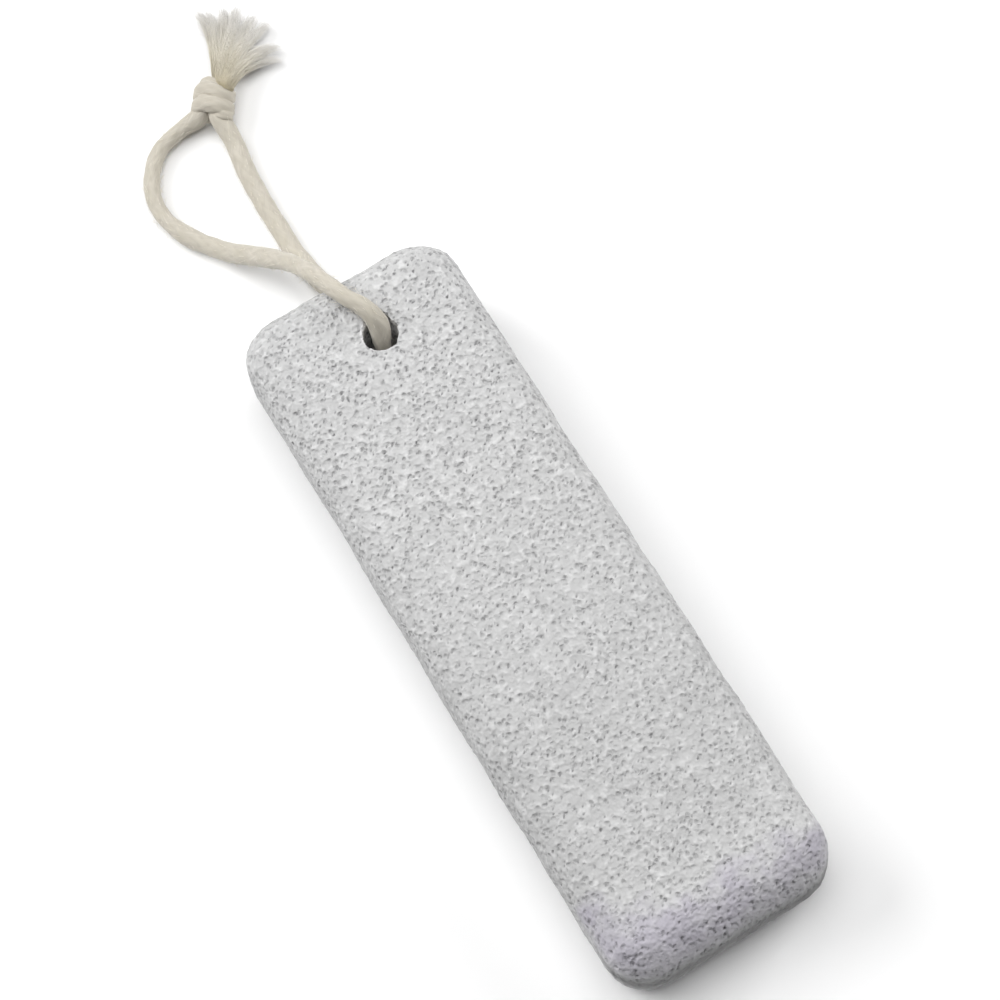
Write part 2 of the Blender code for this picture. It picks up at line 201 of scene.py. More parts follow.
# Stage
FLOOR_HALF = 2.0
LIGHTS = (
    # name, place and diameter; each shines on the scene's origin
    ("top", (0.0, 0.05, 1.0), 1.0),
    ("right", (0.8, 0.05, 0.42), 0.6),
    ("back", (-0.55, 0.6, 0.62), 0.7),
)
CAMERA_PLACE = (-63.6 * MM, -178.88 * MM, 516.44 * MM)
CAMERA_RIGHT = (0.8605, -0.5031, -0.0800)
CAMERA_UP = (0.4932, 0.7834, 0.3783)
CAMERA_LENS = 102.72
SENSOR_WIDTH = 36.0
CAMERA_CLIP = (0.05, 10.0)


def size_setting(name, description, default):
    return FloatProperty(name=name, description=description, default=default, unit="LENGTH")


def power_setting(name, description, default):
    return FloatProperty(name=name, description=description, default=default, unit="POWER")


def colour_setting(name, description, default):
    return FloatVectorProperty(name=name, description=description, default=default, subtype="COLOR")


class StoneSettings(bpy.types.PropertyGroup):
    """Sizes and colours of the pumice bar."""

    length: size_setting("Length", "Length of the bar", 0.150)
    width: size_setting("Width", "Width of the bar", 0.046)
    thickness: size_setting("Thickness", "Thickness of the bar", 0.020)
    side_rounding: size_setting("Side rounding", "Radius along the long edges", 0.0055)
    end_rounding: size_setting("End rounding", "Radius along the short edges", 0.0084)
    tilt: FloatProperty(
        name="Tilt",
        description="How far the cord lifts the drilled end",
        default=math.radians(2),
        unit="ROTATION",
    )
    hole_radius: size_setting("Hole radius", "Radius of the drilled hole", 0.0035)
    rim_wear: size_setting("Rim wear", "Rounding worn on the hole's rims", 0.0003)
    pores: IntProperty(name="Pores", description="How many pores are pressed into the stone", default=4800)
    grey: colour_setting("Stone", "Colour of the pumice", (0.505, 0.505, 0.505))
    # painted shade: the colour that the pores are darkened to
    pore_shade: colour_setting("Pores", "Colour down in the pores", (0.18, 0.18, 0.185))
    tint: colour_setting("Tint", "Colour of the stains at the far end", (0.395, 0.370, 0.44))


class CordSettings(bpy.types.PropertyGroup):
    """Sizes and colours of the cotton cord, its knot and its frayed end."""

    radius: size_setting("Radius", "Radius of the cord", 0.002)
    strands: IntProperty(name="Strands", description="Strands of the braid that wind each way", default=6)
    lay: size_setting("Lay", "Length over which a strand goes once round", 0.030)
    relief: size_setting("Relief", "Height of a strand above its edges", 0.00015)
    fibres: IntProperty(name="Fibres", description="Fibres in each lock of the frayed end", default=420)
    hairs: IntProperty(name="Hairs", description="Loose hairs on the cord", default=600)
    cream: colour_setting("Cotton", "Colour of the cotton", (0.545, 0.510, 0.440))
    # painted shade: the colour that the creases between the strands and the knot are darkened to
    shade: colour_setting("Between strands", "Colour between the strands", (0.35, 0.31, 0.25))


class StageSettings(bpy.types.PropertyGroup):
    """The floor and the lights."""

    floor: colour_setting("Floor", "Colour of the floor", (0.92, 0.92, 0.92))
    top: power_setting("Top light", "Power of the light overhead", 7.7)
    right: power_setting("Right light", "Power of the light on the right", 4.6)
    back: power_setting("Back light", "Power of the light behind", 7.7)
    sky: FloatProperty(name="Sky", description="Strength of the even light from all round", default=0.02)


def unit(vectors):
    """Vectors at length one."""
    return vectors / np.maximum(np.linalg.norm(vectors, axis=-1, keepdims=True), 1e-12)


def ramp(values, start, end):
    """0 before the start, 1 past the end, and three times the square less twice the cube between them."""
    share = np.clip((values - start) / (end - start), 0.0, 1.0)
    return share * share * (3 - 2 * share)


def ripples(points, chance, height, waves, longest, shortest):
    """A smooth random height: a sum of plane waves with random directions, phases and lengths."""
    directions = unit(chance.normal(size=(waves, 3)))
    lengths = chance.uniform(shortest, longest, waves)
    phases = chance.uniform(0, math.tau, waves)
    turns = points @ (directions * (math.tau / lengths)[:, None]).T
    return height * (np.cos(turns + phases).sum(axis=1) * math.sqrt(2 / waves))


def add_piece(name, points, faces, material, values):
    """Put whole arrays of points and faces into a new smooth mesh, with one value a point for each name."""
    mesh = bpy.data.meshes.new(name)
    mesh.from_pydata(points.tolist(), [], faces)
    mesh.shade_smooth()
    mesh.materials.append(material)
    for label, numbers in values.items():
        layer = mesh.attributes.new(label, "FLOAT", "POINT")
        layer.data.foreach_set("value", numbers.astype(np.float32))
    piece = bpy.data.objects.new(name, mesh)
    bpy.context.scene.collection.objects.link(piece)
    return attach(piece, "root") or piece


def smooth_route(points, step):
    """A Catmull-Rom curve through the points, read at even steps of its own length."""
    knots = np.vstack((2 * points[0] - points[1], points, 2 * points[-1] - points[-2]))
    before, start, end, after = knots[:-3], knots[1:-2], knots[2:-1], knots[3:]
    t = np.linspace(0, 1, CURVE_PARTS, endpoint=False)[:, None, None]
    curve = 0.5 * (
        2 * start
        + (end - before) * t
        + (2 * before - 5 * start + 4 * end - after) * t**2
        + (3 * start - before - 3 * end + after) * t**3
    )
    curve = np.vstack((curve.transpose(1, 0, 2).reshape(-1, 3), points[-1]))
    lengths = np.concatenate(([0.0], np.cumsum(np.linalg.norm(np.diff(curve, axis=0), axis=1))))
    places = np.linspace(0, lengths[-1], round(lengths[-1] / step) + 1)
    return np.stack([np.interp(places, lengths, curve[:, axis]) for axis in range(3)], axis=1)


def ring_frames(along):
    """Two directions across each point of a route, turned as little as possible from one to the next."""
    across = np.empty_like(along)
    side = np.cross(along[0], UP)
    for number, direction in enumerate(along):
        side = unit(side - direction * (side @ direction))
        across[number] = side
    return across, np.cross(along, across)


def braid(first, second):
    """Height from 0 to 1 of a braid, and where its first family of strands is on top.

    The two numbers count strands that wind one way and the other. Each strand is a rounded ridge, the
    power 0.6 of a sine across it, and a product of two sines lifts one family above the other in turn.
    """
    over = 0.5 + 0.5 * np.sin(np.pi * first) * np.sin(np.pi * second)
    one = np.abs(np.sin(np.pi * first)) ** 0.6 * (0.3 + 0.7 * over)
    other = np.abs(np.sin(np.pi * second)) ** 0.6 * (1.0 - 0.7 * over)
    return np.maximum(one, other), (one > other).astype(float)


def squares_between(here, there):
    """Squares from the corner numbers of each ring and of the next one; a ring is the last axis."""
    corners = (here, np.roll(here, -1, -1), np.roll(there, -1, -1), there)
    return np.stack(corners, axis=-1).reshape(-1, 4)


def tube_faces(rings, sides, closed):
    """Faces of a tube, wound outwards. An open tube's ends are fans on the two last points."""
    numbers = np.arange(rings * sides).reshape(rings, sides)
    if closed:
        return squares_between(numbers, np.roll(numbers, -1, axis=0)).tolist()
    squares = squares_between(numbers[:-1], numbers[1:])
    first, last = numbers[0], numbers[-1]
    middle = rings * sides
    start = np.stack((np.full(sides, middle), np.roll(first, -1), first), axis=1)
    end = np.stack((np.full(sides, middle + 1), last, np.roll(last, -1)), axis=1)
    return squares.tolist() + start.tolist() + end.tolist()


def braided_tube(route, widths, across, lift, sides, strands, lay, relief, closed=False):
    """A tube along a route whose surface is the braid.

    A point is the route's point plus the two directions across it times the cosine and sine of its angle
    and the half widths, with the braid's height added outwards. Gives points, faces and values.
    """
    angle = np.linspace(0, math.tau, sides, endpoint=False)
    steps = np.linalg.norm(np.diff(route, axis=0), axis=1)
    length = np.concatenate(([0.0], np.cumsum(steps)))
    total = length[-1] + (steps[-1] if closed else 0.0)
    turns = round(total / lay * strands / 2) * 2 / strands if closed else total / lay
    winding = (length / total * turns * strands)[:, None]
    around = (angle * strands / math.tau)[None, :]
    height, first_on_top = braid(around + winding, around - winding)
    grow = (height - BRAID_MEAN) * relief
    one = np.cos(angle)[None, :, None] * across[:, None] * (widths[0] + grow)[:, :, None]
    other = np.sin(angle)[None, :, None] * lift[:, None] * (widths[1] + grow)[:, :, None]
    points = (route[:, None] + one + other).reshape(-1, 3)
    # valley: how deep a point lies between the strands, where the cotton finish paints shade
    values = {
        "valley": (1 - height).ravel(),
        "lay": first_on_top.ravel(),
        "one_way": np.broadcast_to(around + winding, height.shape).ravel(),
        "other_way": np.broadcast_to(around - winding, height.shape).ravel(),
    }
    if not closed:
        points = np.vstack((points, route[0], route[-1]))
        values = {label: np.append(numbers, (0.0, 0.0)) for label, numbers in values.items()}
    return points, tube_faces(len(route), sides, closed), values


def join_parts(parts):
    """Several sets of points, faces and values as one."""
    points = np.vstack([part[0] for part in parts])
    faces, start = [], 0
    for part in parts:
        faces += [[corner + start for corner in face] for face in part[1]]
        start += len(part[0])
    values = {label: np.concatenate([part[2][label] for part in parts]) for label in parts[0][2]}
    return points, faces, values


def fibre_tubes(centres, radii):
    """Thin three-sided tubes with closed ends, all at once, from their centre lines and radii."""
    count, rings, _ = centres.shape
    along = unit(np.gradient(centres, axis=1))
    across = unit(np.cross(along, UP))
    lift = np.cross(along, across)
    angle = np.linspace(0, math.tau, FIBRE_SIDES, endpoint=False)[None, None, :, None]
    points = centres[:, :, None] + radii[:, :, None, None] * (
        np.cos(angle) * across[:, :, None] + np.sin(angle) * lift[:, :, None]
    )
    numbers = np.arange(count * rings * FIBRE_SIDES).reshape(count, rings, FIBRE_SIDES)
    squares = squares_between(numbers[:, :-1], numbers[:, 1:])
    faces = squares.tolist() + numbers[:, 0, ::-1].tolist() + numbers[:, -1].tolist()
    return points.reshape(-1, 3), faces


def block_cells(counts):
    """Corner numbers of every square on the outside of a block of cells, wound outwards."""
    sides = []
    windings = (((0, 0), (0, 1), (1, 1), (1, 0)), ((0, 0), (1, 0), (1, 1), (0, 1)))
    for axis in range(3):
        first_axis, second_axis = (axis + 1) % 3, (axis + 2) % 3
        cells = (np.arange(counts[first_axis]), np.arange(counts[second_axis]))
        first, second = np.meshgrid(*cells, indexing="ij")
        for level, corners in zip((0, counts[axis]), windings):
            squares = np.empty((first.size, 4, 3), dtype=np.int64)
            squares[..., axis] = level
            for number, (one, other) in enumerate(corners):
                squares[:, number, first_axis] = first.ravel() + one
                squares[:, number, second_axis] = second.ravel() + other
            sides.append(squares)
    return np.concatenate(sides)


def square_to_disc(a, b):
    """A square from -1 to 1 bent into a disc: each times the root of 1 less half the other's square."""
    return a * np.sqrt(1 - b * b / 2), b * np.sqrt(1 - a * a / 2)


def round_corners(plan, half):
    """Bend a rectangle's corner squares into quarter discs.

    Gives the bent places, the outward direction of the nearest edge and the distance to that edge.
    """
    sign = np.where(plan < 0, -1.0, 1.0)
    radius = np.array(CORNER_RADII)[(plan[:, 0] > 0).astype(int), (plan[:, 1] > 0).astype(int)]
    inner = half - radius[:, None]
    share = (np.abs(plan) - inner) / radius[:, None]
    corner = (share > 0).all(axis=1)
    a, b = square_to_disc(*np.clip(share, 0, 1).T)
    disc = np.stack((a, b), axis=1)
    place = np.where(corner[:, None], sign * (inner + radius[:, None] * disc), plan)
    gap = half - np.abs(plan)
    nearest = np.where(gap[:, :1] < gap[:, 1:], (1.0, 0.0), (0.0, 1.0))
    outward = sign * np.where(corner[:, None], unit(disc), nearest)
    distance = np.where(corner, radius * (1 - np.linalg.norm(disc, axis=1)), gap.min(axis=1))
    return place, outward, distance


def bend_round_hole(plan, block_low, block_high, rim_radius):
    """Bend the cells round the opened square until its edge is the hole's rim, and less further out."""
    middle = (block_low + block_high) / 2
    half = (block_high - block_low) / 2
    share = (plan - middle) / half
    reach = np.maximum(np.abs(share).max(axis=1), 1e-9)
    disc = np.stack(square_to_disc(*(share / reach[:, None]).T), axis=1)
    circle = np.array(HOLE_PLACE) + rim_radius * reach[:, None] * disc
    fade = ramp(reach, 1, HOLE_REACH)[:, None]
    return np.where((reach < HOLE_REACH)[:, None], circle * (1 - fade) + plan * fade, plan)


def stone_surface(stone):
    """The rounded, drilled bar in its own frame, as points and squares.

    Cells on the faces and sides of a block are bent into the bar. From the distance to the nearest edge
    comes the turn of the rounded edge, from an eighth of a circle at the block's edge to a quarter where
    the flat face starts; the sides take the rest of the turn and the upright wall between. A square of
    cells is opened on both faces, and rings between the two openings make the wall of the hole.
    """
    half = np.array((stone.width, stone.length)) / 2
    deep = stone.thickness / 2
    counts = np.array(STONE_CELLS)
    spacing = 2 * half / counts[:2]
    low = np.round((np.array(HOLE_PLACE) - HOLE_BLOCK / 2 + half) / spacing).astype(int)
    high = np.round((np.array(HOLE_PLACE) + HOLE_BLOCK / 2 + half) / spacing).astype(int)
    squares = block_cells(counts)
    flat = (squares[:, :, 2] == squares[:, :1, 2]).all(axis=1)
    inside = (squares[..., :2] >= low).all(axis=(1, 2)) & (squares[..., :2] <= high).all(axis=(1, 2))
    squares = squares[~(flat & inside)]
    weights = np.array(((counts[1] + 1) * (counts[2] + 1), counts[2] + 1, 1))
    keys, faces = np.unique(squares @ weights, return_inverse=True)
    faces = faces.reshape(-1, 4)
    numbers = np.stack((keys // weights[0], keys // weights[1] % (counts[1] + 1), keys % weights[1]), axis=1)

    plan, outward, distance = round_corners(numbers[:, :2] * spacing - half, half)
    rounding = np.hypot(stone.side_rounding * outward[:, 0], stone.end_rounding * outward[:, 1])
    face = np.where(numbers[:, 2] == counts[2], 1.0, np.where(numbers[:, 2] == 0, -1.0, 0.0))
    on_face = face != 0
    upright = deep - rounding
    height = (2 * numbers[:, 2] / counts[2] - 1) * (upright + rounding * math.pi / 4)
    side_turn = np.maximum(np.abs(height) - upright, 0) / rounding
    face_turn = math.pi / 4 * (1 + np.minimum(distance / rounding, 1))
    turn = np.where(on_face, face_turn, side_turn)
    inset = np.where(on_face & (distance > rounding), distance, rounding * (1 - np.cos(turn)))
    plan = plan - outward * (inset - distance * on_face)[:, None]
    level = upright + rounding * np.sin(turn)
    z = np.where(on_face, face * level, np.where(side_turn > 0, np.sign(height) * level, height))
    rim_radius = stone.hole_radius + stone.rim_wear
    plan = np.where(
        on_face[:, None], bend_round_hole(plan, low * spacing - half, high * spacing - half, rim_radius), plan
    )
    points = np.column_stack((plan, z))

    loop = hole_loop(low, high) @ weights[:2]
    top = np.searchsorted(keys, loop + counts[2])
    bottom = np.searchsorted(keys, loop)
    wall, wall_faces = hole_wall(stone, points, top, bottom)
    return np.vstack((points, wall)), np.vstack((faces, wall_faces))


def hole_loop(low, high):
    """The corner numbers round the opened square, anticlockwise from above."""
    x = np.arange(low[0], high[0])
    y = np.arange(low[1], high[1])
    sides = ((x, low[1]), (high[0], y), (x[::-1] + 1, high[1]), (low[0], y[::-1] + 1))
    return np.vstack([np.column_stack(np.broadcast_arrays(*side)) for side in sides])


def hole_wall(stone, points, top, bottom):
    """Rings down the drilled hole: a quarter circle over each worn rim, and the straight wall between."""
    deep = stone.thickness / 2
    wear = stone.rim_wear
    turns = np.linspace(0, math.pi / 2, RIM_RINGS + 1)[1:]
    rim = np.column_stack((stone.hole_radius + wear * (1 - np.sin(turns)), deep - wear * (1 - np.cos(turns))))
    straight = np.linspace(deep - wear, wear - deep, WALL_RINGS + 1)[1:-1]
    wall = np.column_stack((np.full(len(straight), stone.hole_radius), straight))
    profile = np.vstack((rim, wall, rim[::-1] * (1, -1)))
    outward = unit(points[top, :2] - HOLE_PLACE)
    flat = np.array(HOLE_PLACE) + profile[:, None, :1] * outward[None]
    heights = np.broadcast_to(profile[:, None, 1:], (*flat.shape[:2], 1))
    rings = np.concatenate((flat, heights), axis=2)
    numbers = len(points) + np.arange(rings.shape[0] * rings.shape[1]).reshape(rings.shape[:2])
    levels = np.vstack((top, numbers, bottom))
    return rings.reshape(-1, 3), squares_between(levels[:-1], levels[1:])


def surface_normals(points, faces):
    """Outward directions at the points: the sum of their faces' cross products of diagonals."""
    corners = points[faces]
    cross = np.cross(corners[:, 2] - corners[:, 0], corners[:, 3] - corners[:, 1])
    total = np.empty_like(points)
    for axis in range(3):
        total[:, axis] = np.bincount(
            faces.ravel(), weights=np.repeat(cross[:, axis], 4), minlength=len(points)
        )
    return unit(total)


def rub_groove(points, route):
    """Push the stone's points out of the round way that the cord has rubbed into the rims."""
    low = route.min(axis=0) - GROOVE_RADIUS
    high = route.max(axis=0) + GROOVE_RADIUS
    near = np.flatnonzero(((points > low) & (points < high)).all(axis=1))
    away = points[near, None] - route[None]
    nearest = np.linalg.norm(away, axis=2).argmin(axis=1)
    away = away[np.arange(len(near)), nearest]
    distance = np.linalg.norm(away, axis=1, keepdims=True)
    points[near] += away / distance * np.maximum(GROOVE_RADIUS - distance, 0)


def choose_pores(points, chance, wanted):
    """Chance places among the points, large pores first, each clear of those before it."""
    radii = np.sort(SMALLEST_PORE + PORE_GROWTH * chance.random(wanted) ** 4)[::-1]
    tries = chance.permutation(len(points))
    places, sizes = np.empty((wanted, 3)), np.empty(wanted)
    found = 0
    for number in tries:
        place = points[number]
        radius = radii[found]
        gap = np.linalg.norm(places[:found] - place, axis=1)
        if (gap > PORE_CLEARANCE * (sizes[:found] + radius) + PORE_GAP).all():
            places[found], sizes[found] = place, radius
            found += 1
            if found == wanted:
                break
    return places[:found], sizes[:found]


def press_pores(points, normals, chance, wanted):
    """Press uneven pits into the stone, and draw the points near each rim onto it.

    For its nearest pore, a point's distance in radii is measured longer across the pore than along it.
    Points near one radius are drawn to it, and the depth falls from full inside a third of the radius
    to nothing at the rim. Gives the new points and the share of the full depth.
    """
    places, sizes = choose_pores(points, chance, wanted)
    stretch = chance.uniform(*PORE_STRETCH, len(places))
    grain = unit(chance.normal(size=(len(places), 3)))
    depths = sizes * chance.uniform(*PORE_DEPTHS, len(places))
    order = np.argsort(points[:, 1])
    by_length = np.argsort(places[:, 1])
    reach = 1.7 * (1 + RIM_REACH) * sizes.max()  # a little over the longest stretch
    ratio = np.empty(len(points))
    chosen = np.empty(len(points), dtype=int)
    for part in np.array_split(order, PORE_SLICES):
        first, last = np.searchsorted(places[by_length, 1], points[part[[0, -1]], 1] + (-reach, reach))
        near = by_length[first:last]
        away = points[part][:, None] - places[near][None]
        along = (away * grain[near]).sum(axis=2)
        square = (away**2).sum(axis=2) - along**2 * (1 - 1 / stretch[near] ** 2)
        ratios = np.sqrt(np.maximum(square, 0)) / sizes[near]
        best = ratios.argmin(axis=1)
        ratio[part] = ratios[np.arange(len(part)), best]
        chosen[part] = near[best]
    away = points - places[chosen]
    away -= normals * (away * normals).sum(axis=1, keepdims=True)
    pull = RIM_PULL * np.maximum(1 - ((ratio - 1) / RIM_REACH) ** 2, 0) ** 2
    drawn = ratio - (ratio - 1) * pull
    points = points + away * (drawn / np.maximum(ratio, 1e-6) - 1)[:, None]
    share = 1 - ramp(drawn, *PORE_WALL)
    return points - normals * (depths[chosen] * share)[:, None], share


class Finish:
    """A material's nodes, with short ways to add those that these finishes use."""

    def __init__(self, name):
        self.material = bpy.data.materials.new(name)
        self.material.use_nodes = True
        self.nodes = self.material.node_tree.nodes
        self.links = self.material.node_tree.links
        self.shader = self.nodes["Principled BSDF"]

    def put(self, socket, value):
        """Set a socket to a plain value, or link it to another socket."""
        if isinstance(value, bpy.types.NodeSocket):
            self.links.new(value, socket)
        else:
            socket.default_value = value

    def look(self, **values):
        """Set or link the shader's sockets; their names are written with underscores."""
        for label, value in values.items():
            self.put(self.shader.inputs[label.replace("_", " ")], value)

    def node(self, kind, inputs, **settings):
        """A new node with its settings and inputs; the inputs' names or numbers are the keys."""
        made = self.nodes.new(kind)
        for label, value in settings.items():
            setattr(made, label, value)
        for key, value in inputs.items():
            self.put(made.inputs[key], value)
        return made

    def place(self):
        return self.node("ShaderNodeTexCoord", {}).outputs["Object"]

    def value(self, label):
        """The number that each point of the piece carries under this name."""
        made = self.node("ShaderNodeAttribute", {}, attribute_name=label)
        return made.outputs["Fac"]

    def noise(self, vector, scale, detail=3.0, roughness=0.55):
        inputs = {"Vector": vector, "Scale": scale, "Detail": detail, "Roughness": roughness}
        return self.node("ShaderNodeTexNoise", inputs).outputs["Fac"]

    def cells(self, vector, scale):
        """Distance to the nearest of a crowd of chance points."""
        return self.node("ShaderNodeTexVoronoi", {"Vector": vector, "Scale": scale}).outputs["Distance"]

    def span(self, value, low, high, new_low=0.0, new_high=1.0):
        """Stretch a range of values to another, and hold it there."""
        inputs = {"Value": value, "From Min": low, "From Max": high, "To Min": new_low, "To Max": new_high}
        return self.node("ShaderNodeMapRange", inputs).outputs["Result"]

    def maths(self, operation, one, other):
        return self.node("ShaderNodeMath", {0: one, 1: other}, operation=operation).outputs["Value"]

    def times(self, one, other):
        return self.maths("MULTIPLY", one, other)

    def mix(self, share, one, other, blend="MIX"):
        """One colour mixed into another by a share."""
        inputs = {0: share, 6: one, 7: other}
        made = self.node("ShaderNodeMix", inputs, data_type="RGBA", blend_type=blend)
        return made.outputs[2]

    def bump(self, height, strength, distance):
        inputs = {"Height": height, "Strength": strength, "Distance": distance}
        self.put(self.shader.inputs["Normal"], self.node("ShaderNodeBump", inputs).outputs["Normal"])


def opaque(colour):
    return (*colour, 1.0)


def pumice_finish(stone):
    """Pale grey, slightly darker towards the far end, with painted shade down in the pores, painted dark
    freckles for pores too small to press in, painted highlights on the raised grains, stains on the far end
    and painted shade on its lower half.

    The wall of the hole is painted paler than the outside, as painted light in its shade, and the drilled end
    is the roughest.
    """
    finish = Finish("pumice")
    span, times, mix = finish.span, finish.times, finish.mix
    place = finish.place()
    cloudy = finish.noise(place, 90.0, 4.0)
    grainy = finish.noise(place, 800.0, 1.0, 0.5)
    drift = finish.node("ShaderNodeTexNoise", {"Vector": place, "Scale": 800.0, "Detail": 1.0})
    shift = {0: drift.outputs["Color"], 1: [0.6 * MM] * 3, 2: place}
    bent = finish.node("ShaderNodeVectorMath", shift, operation="MULTIPLY_ADD").outputs[0]
    round_pores = span(finish.cells(bent, 850.0), 0.14, 0.48, 1.0, 0.0)
    some = span(finish.noise(place, 620.0, 1.0), 0.35, 0.58)
    fine_pores = times(round_pores, some)
    grey = np.array(stone.grey)
    colour = mix(span(cloudy, 0.35, 0.65), opaque(grey * 0.97), opaque(grey * 1.03))
    # painted highlights on the raised grains, which the bump also lifts
    colour = mix(span(grainy, 0.50, 0.72), colour, opaque(grey * 1.22))
    parts = finish.node("ShaderNodeSeparateXYZ", {0: place})
    x, y, z = (parts.outputs[axis] for axis in "XYZ")

    # slightly darker between the middle and the far end
    far_darker = times(span(y, *FAR_DARKER_START), span(y, *FAR_DARKER_END))
    colour = mix(far_darker, colour, (0.93, 0.93, 0.93, 1.0), "MULTIPLY")

    # stains on the upper side of the far end, with an uneven edge
    blotchy = finish.noise(place, 150.0, 2.0)
    edge = finish.maths("ADD", y, span(x, *STAIN_SLANT))
    edge = finish.maths("ADD", edge, span(blotchy, 0.3, 0.7, *STAIN_EDGE))
    stains = times(span(edge, *STAIN_START), span(blotchy, 0.35, 0.55, 0.35, 0.66))
    stains = times(stains, span(z, *STAIN_HEIGHTS, 0.2, 1.0))
    colour = mix(stains, colour, opaque(stone.tint))

    # painted shade on the lower half of the far end, less of it at the very bottom, where the floor lights it
    end_shade = times(span(z, *END_SHADE_TOP), span(z, *END_SHADE_BOTTOM, 0.1, 1.0))
    end_shade = times(span(y, *END_SHADE_START), end_shade)
    colour = mix(end_shade, colour, opaque(grey * 0.56))

    # painted light on the wall of the hole, which lies in shade
    flat = finish.node("ShaderNodeCombineXYZ", {0: x, 1: y}).outputs[0]
    away = finish.node("ShaderNodeVectorMath", {0: flat, 1: (*HOLE_PLACE, 0.0)}, operation="DISTANCE")
    colour = mix(span(away.outputs["Value"], *HOLE_WALL_LIGHT), colour, opaque(grey * 1.5))

    # painted shade in the pores, fainter away from the drilled end and where the far end is painted in shade
    rough = span(y, *CALM_START, 1.0, 0.78)
    calm = times(span(end_shade, 0.0, 1.0, 1.0, 0.4), rough)
    colour = mix(times(times(fine_pores, 0.48), calm), colour, opaque(stone.pore_shade))
    # painted shade down in the pressed pores, darker the deeper they are
    depth = span(finish.value("depth"), 0.25, 0.95, 0.0, 0.8)
    colour = mix(times(depth, calm), colour, opaque(stone.pore_shade))
    roughness = span(grainy, 0.3, 0.7, 0.98, 0.86)
    finish.look(Base_Color=colour, Roughness=roughness, Specular_IOR_Level=0.25)
    relief = finish.maths("SUBTRACT", times(grainy, 1.4), times(fine_pores, 0.7))
    finish.bump(times(relief, rough), 0.9, 0.5 * MM)
    return finish.material


def cotton_finish(cord):
    """Cream braided cotton with painted shade between the strands, fibres along each strand and a soft sheen.
    """
    finish = Finish("cotton braid")
    place = finish.place()
    one_way, other_way = finish.value("one_way"), finish.value("other_way")
    first = finish.node("ShaderNodeCombineXYZ", {0: one_way, 1: finish.times(other_way, 0.10)})
    second = finish.node("ShaderNodeCombineXYZ", {0: other_way, 1: finish.times(one_way, 0.10)})
    along_first = finish.noise(first.outputs[0], 7.0, 3.0)
    along_second = finish.noise(second.outputs[0], 7.0, 3.0)
    fibres = finish.node(
        "ShaderNodeMix", {0: finish.value("lay"), 2: along_second, 3: along_first}, data_type="FLOAT"
    ).outputs[0]
    cream = np.array(cord.cream)
    cloudy = finish.span(finish.noise(place, 260.0, 3.0), 0.35, 0.65)
    colour = finish.mix(cloudy, opaque(cream * (0.93, 0.93, 0.90)), opaque(cream * (1.05, 1.05, 1.06)))
    colour = finish.mix(finish.span(fibres, 0.38, 0.60), opaque(cream * 0.90), colour)
    # painted shade in the creases between the strands, and over the knot
    valley = finish.span(finish.value("valley"), 0.25, 0.95, 0.0, 0.30)
    colour = finish.mix(valley, colour, opaque(cord.shade))
    finish.look(Base_Color=colour, Roughness=finish.span(fibres, 0.3, 0.7, 0.98, 0.82))
    finish.look(Specular_IOR_Level=0.2, Sheen_Weight=0.25, Sheen_Roughness=0.45)
    finish.bump(fibres, 0.4, 0.12 * MM)
    return finish.material


def fibre_finish(cord, name):
    """Loose cotton: each fibre has its own shade, yellower at the root and paler at the tip."""
    finish = Finish(name)
    cream = np.array(cord.cream)
    shade = finish.value("shade")
    colour = finish.mix(shade, opaque(cream * (1.28, 1.28, 1.22)), opaque(cream * (1.62, 1.66, 1.72)))
    along = finish.value("along")
    colour = finish.mix(finish.span(along, 0.05, 0.55, 0.95, 0.0), colour, opaque(cream * (0.80, 0.75, 0.59)))
    colour = finish.mix(finish.span(along, 0.55, 1.0, 0.0, 0.8), colour, opaque((0.92, 0.91, 0.90)))
    grainy = finish.noise(finish.place(), 900.0)
    finish.look(Base_Color=colour, Roughness=finish.span(grainy, 0.3, 0.7, 0.95, 0.8))
    finish.look(Specular_IOR_Level=0.2, Sheen_Weight=0.2, Sheen_Roughness=0.5)
    return finish.material


def floor_finish(stage):
    """Plain pale board with a very faint cloudiness."""
    finish = Finish("pale floor")
    cloudy = finish.span(finish.noise(finish.place(), 6.0), 0.3, 0.7)
    floor = np.array(stage.floor)
    colour = finish.mix(cloudy, opaque(floor * 0.99), opaque(floor))
    finish.look(Base_Color=colour, Roughness=0.9, Specular_IOR_Level=0.1)
    return finish.material


def in_metres(points):
    return np.array(points) * MM


def turned(points, turn, place):
    """Points turned about the upright axis and moved to their place."""
    cosine, sine = math.cos(turn), math.sin(turn)
    matrix = np.array(((cosine, -sine, 0), (sine, cosine, 0), (0, 0, 1)))
    return points @ matrix.T + place


def cord_centres():
    """The middles of the cord's rings, from inside the knot round the loop and back into the knot."""
    return smooth_route(in_metres((*START_IN_KNOT, *CORD_ROUTE, *END_IN_KNOT)), CORD_STEP)


def add_light(name, place, size, power):
    """A round soft light that shines on the scene's origin."""
    data = bpy.data.lights.new(name, "AREA")
    data.shape = "DISK"
    data.size = size
    data.energy = power
    light = bpy.data.objects.new(name, data)
    light.location = place
    light.rotation_mode = "QUATERNION"
    light.rotation_quaternion = (-Vector(place)).to_track_quat("-Z", "Y")
    bpy.context.scene.collection.objects.link(light)


